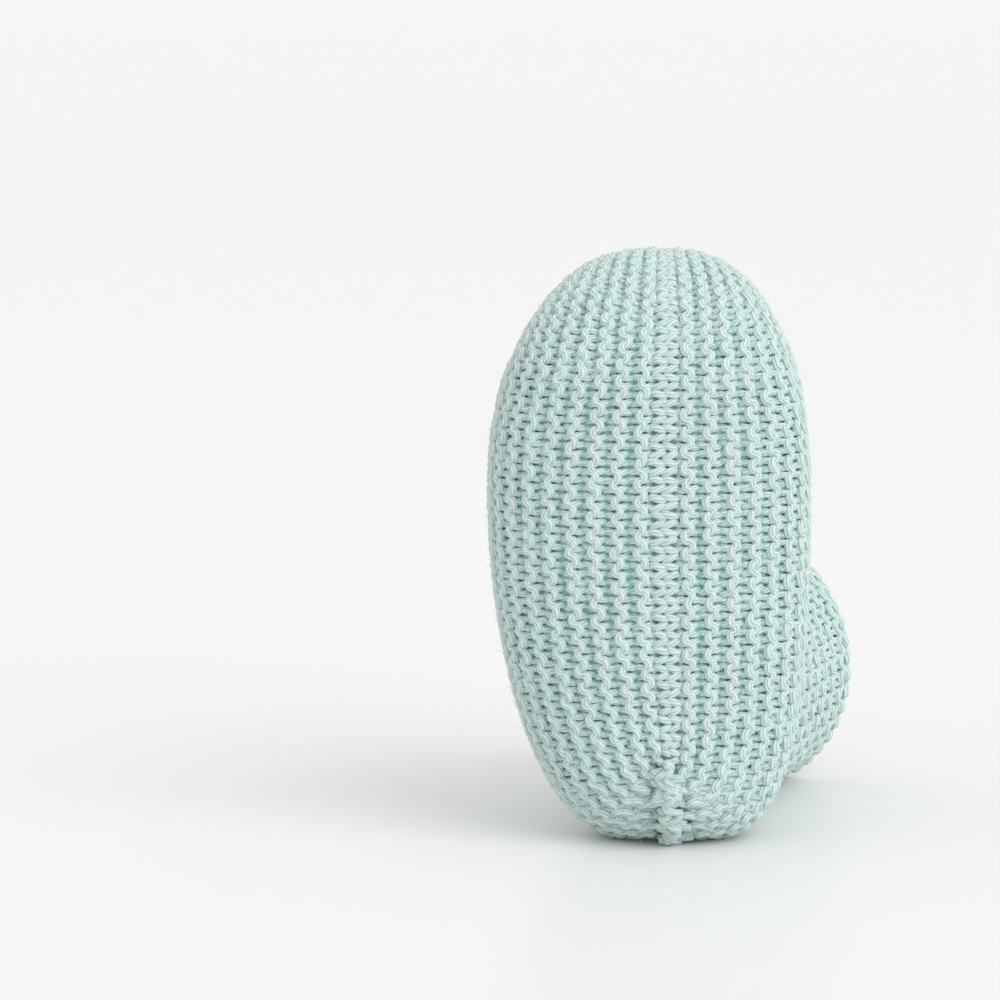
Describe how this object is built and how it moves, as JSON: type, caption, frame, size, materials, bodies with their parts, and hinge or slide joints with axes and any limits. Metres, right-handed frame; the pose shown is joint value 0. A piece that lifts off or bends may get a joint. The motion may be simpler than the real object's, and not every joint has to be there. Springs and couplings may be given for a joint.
{
  "type": "baby bootie",
  "caption": "Hollow knitted baby bootie with a rounded sole, a gathered toe, a seamed heel and an open leg that leans to one side, standing on its heel.",
  "frame": {"origin": "on the floor the bootie stands on, under the middle of its bounding box", "axes": "+Z from heel to toe, as the bootie stands on its heel; the sole faces -Y, the leg opens towards +Y, and +X is the side the leg leans to"},
  "size_m": [0.0686, 0.078, 0.105],
  "materials": {
    "garter_knit": "soft plied cotton-wool yarn in garter stitch, matt with a faint fuzz",
    "smooth_knit": "the same yarn in smooth stitch",
    "bound_edge": "the same yarn bound off in a chain",
    "sewing_yarn": "the same yarn, sewn"
  },
  "bodies": {
    "root": {"sole_left": "garter_knit", "sole_right": "garter_knit", "side_left": "garter_knit", "side_right": "garter_knit", "instep_left": "garter_knit", "instep_right": "garter_knit", "leg_left": "garter_knit", "leg_right": "garter_knit", "sole_band": "smooth_knit", "collar_edge": "bound_edge", "back_seam": "sewing_yarn", "instep_seam": "sewing_yarn", "toe_gather": "sewing_yarn"}
  },
  "joints": []
}
